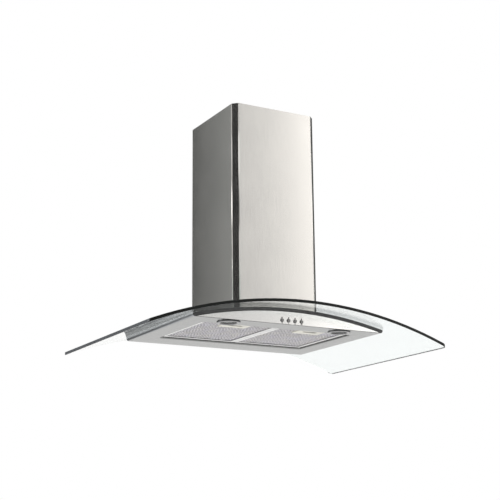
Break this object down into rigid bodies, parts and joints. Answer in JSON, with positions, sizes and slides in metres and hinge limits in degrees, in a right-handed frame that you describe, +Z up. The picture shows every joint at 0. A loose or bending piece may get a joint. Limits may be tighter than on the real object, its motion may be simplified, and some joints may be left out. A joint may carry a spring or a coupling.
{
  "type": "range hood",
  "caption": "Ceiling-hung island range hood: chamfered square chimney, curved glass canopy, flat stainless body with tilting grease filters, lamps and push buttons.",
  "frame": {"origin": "centre of the ceiling plate's top face, on the axis of the exhaust duct", "axes": "X to the right seen from the front, -Y to the front where the buttons are, +Z up"},
  "size_m": [0.9, 0.59, 0.6717],
  "materials": {
    "brushed_stainless": "brushed stainless sheet",
    "galvanised_steel": "galvanised sheet",
    "canopy_glass": "clear toughened glass with a faint blue-green tint",
    "dark_frame": "satin black",
    "rubber": "soft black",
    "zinc_bolts": "zinc plated",
    "blower_plastic": "moulded, matt",
    "motor_can": "grey enamel",
    "box_plastic": "matt light grey",
    "dark_plastic": "matt black",
    "indicator_red": "clear red, unlit",
    "chrome_trim": "polished",
    "lamp_glass": "clear",
    "filter_aluminium": "satin, mesh slightly darker",
    "latch_plate_grey": "light grey-cream"
  },
  "bodies": {
    "ceiling_frame": {"ceiling_plate": "galvanised_steel", "upper_chimney": "brushed_stainless", "upper_post_front_left": "galvanised_steel", "upper_post_front_right": "galvanised_steel", "upper_post_back_right": "galvanised_steel", "upper_post_back_left": "galvanised_steel"},
    "hood": {"lower_post_front_left": "galvanised_steel", "lower_post_front_right": "galvanised_steel", "lower_post_back_right": "galvanised_steel", "lower_post_back_left": "galvanised_steel", "frame_braces": "galvanised_steel", "base_frame": "galvanised_steel", "base_gasket": "rubber", "glass_canopy": "canopy_glass", "glass_grommets": "rubber", "glass_bolts": "zinc_bolts", "top_cover": "brushed_stainless", "carrier_frame": "dark_frame", "underside_panel": "brushed_stainless", "front_panel": "brushed_stainless", "rear_panel": "brushed_stainless", "divider_rail": "galvanised_steel", "lower_chimney": "brushed_stainless", "scroll_half_left": "blower_plastic", "scroll_half_right": "blower_plastic", "inlet_ring_left": "blower_plastic", "inlet_ring_right": "blower_plastic", "motor": "motor_can", "motor_bracket": "galvanised_steel", "outlet_duct": "blower_plastic", "duct_collar": "blower_plastic", "junction_box": "box_plastic", "junction_box_cover": "box_plastic", "cable_gland": "dark_plastic", "switch_block": "dark_plastic", "indicator_lenses": "indicator_red", "lamp_bezel_left": "chrome_trim", "lamp_bezel_right": "chrome_trim", "lamp_lens_left": "lamp_glass", "lamp_lens_right": "lamp_glass", "lamp_housing_left": "dark_plastic", "lamp_housing_right": "dark_plastic", "halogen_bulbs": "lamp_glass"},
    "impeller": {"impeller": "blower_plastic", "impeller_blades": "blower_plastic", "motor_shaft": "zinc_bolts"},
    "left_damper": {"damper_flap_left": "blower_plastic"},
    "right_damper": {"damper_flap_right": "blower_plastic"},
    "lamp_button": {"lamp_button": "chrome_trim"},
    "low_speed_button": {"low_speed_button": "chrome_trim"},
    "middle_speed_button": {"middle_speed_button": "chrome_trim"},
    "high_speed_button": {"high_speed_button": "chrome_trim"},
    "left_filter": {"filter_frame_left": "filter_aluminium", "filter_mesh_left": "filter_aluminium", "latch_plate_left": "latch_plate_grey"},
    "right_filter": {"filter_frame_right": "filter_aluminium", "filter_mesh_right": "filter_aluminium", "latch_plate_right": "latch_plate_grey"},
    "left_latch": {"filter_latch_left": "dark_plastic"},
    "right_latch": {"filter_latch_right": "dark_plastic"}
  },
  "joints": [
    {"name": "height_slide", "type": "slide", "parent": "ceiling_frame", "child": "hood", "axis": [0, 0, 1], "range_m": [-0.38, 0]},
    {"name": "impeller_spin", "type": "hinge", "parent": "hood", "child": "impeller", "pos_m": [0, 0.012, -0.467], "axis": [1, 0, 0], "continuous": true},
    {"name": "left_damper_hinge", "type": "hinge", "parent": "hood", "child": "left_damper", "pos_m": [-0.0045, 0, -0.286], "axis": [0, 1, 0], "range_deg": [0, 75]},
    {"name": "right_damper_hinge", "type": "hinge", "parent": "hood", "child": "right_damper", "pos_m": [0.0045, 0, -0.286], "axis": [0, -1, 0], "range_deg": [0, 75]},
    {"name": "left_filter_hinge", "type": "hinge", "parent": "hood", "child": "left_filter", "pos_m": [-0.11375, 0.1375, -0.6205], "axis": [1, 0, 0], "range_deg": [0, 35]},
    {"name": "right_filter_hinge", "type": "hinge", "parent": "hood", "child": "right_filter", "pos_m": [0.11375, 0.1375, -0.6205], "axis": [1, 0, 0], "range_deg": [0, 35]},
    {"name": "left_latch_slide", "type": "slide", "parent": "left_filter", "child": "left_latch", "axis": [0, 1, 0], "range_m": [0, 0.003], "stiffness_N_per_m": 600, "springref_m": -0.003},
    {"name": "right_latch_slide", "type": "slide", "parent": "right_filter", "child": "right_latch", "axis": [0, 1, 0], "range_m": [0, 0.003], "stiffness_N_per_m": 600, "springref_m": -0.003},
    {"name": "lamp_button_press", "type": "slide", "parent": "hood", "child": "lamp_button", "axis": [0, 1, 0], "range_m": [0, 0.002], "stiffness_N_per_m": 400, "springref_m": -0.002},
    {"name": "low_speed_button_press", "type": "slide", "parent": "hood", "child": "low_speed_button", "axis": [0, 1, 0], "range_m": [0, 0.002], "stiffness_N_per_m": 400, "springref_m": -0.002},
    {"name": "middle_speed_button_press", "type": "slide", "parent": "hood", "child": "middle_speed_button", "axis": [0, 1, 0], "range_m": [0, 0.002], "stiffness_N_per_m": 400, "springref_m": -0.002},
    {"name": "high_speed_button_press", "type": "slide", "parent": "hood", "child": "high_speed_button", "axis": [0, 1, 0], "range_m": [0, 0.002], "stiffness_N_per_m": 400, "springref_m": -0.002}
  ]
}
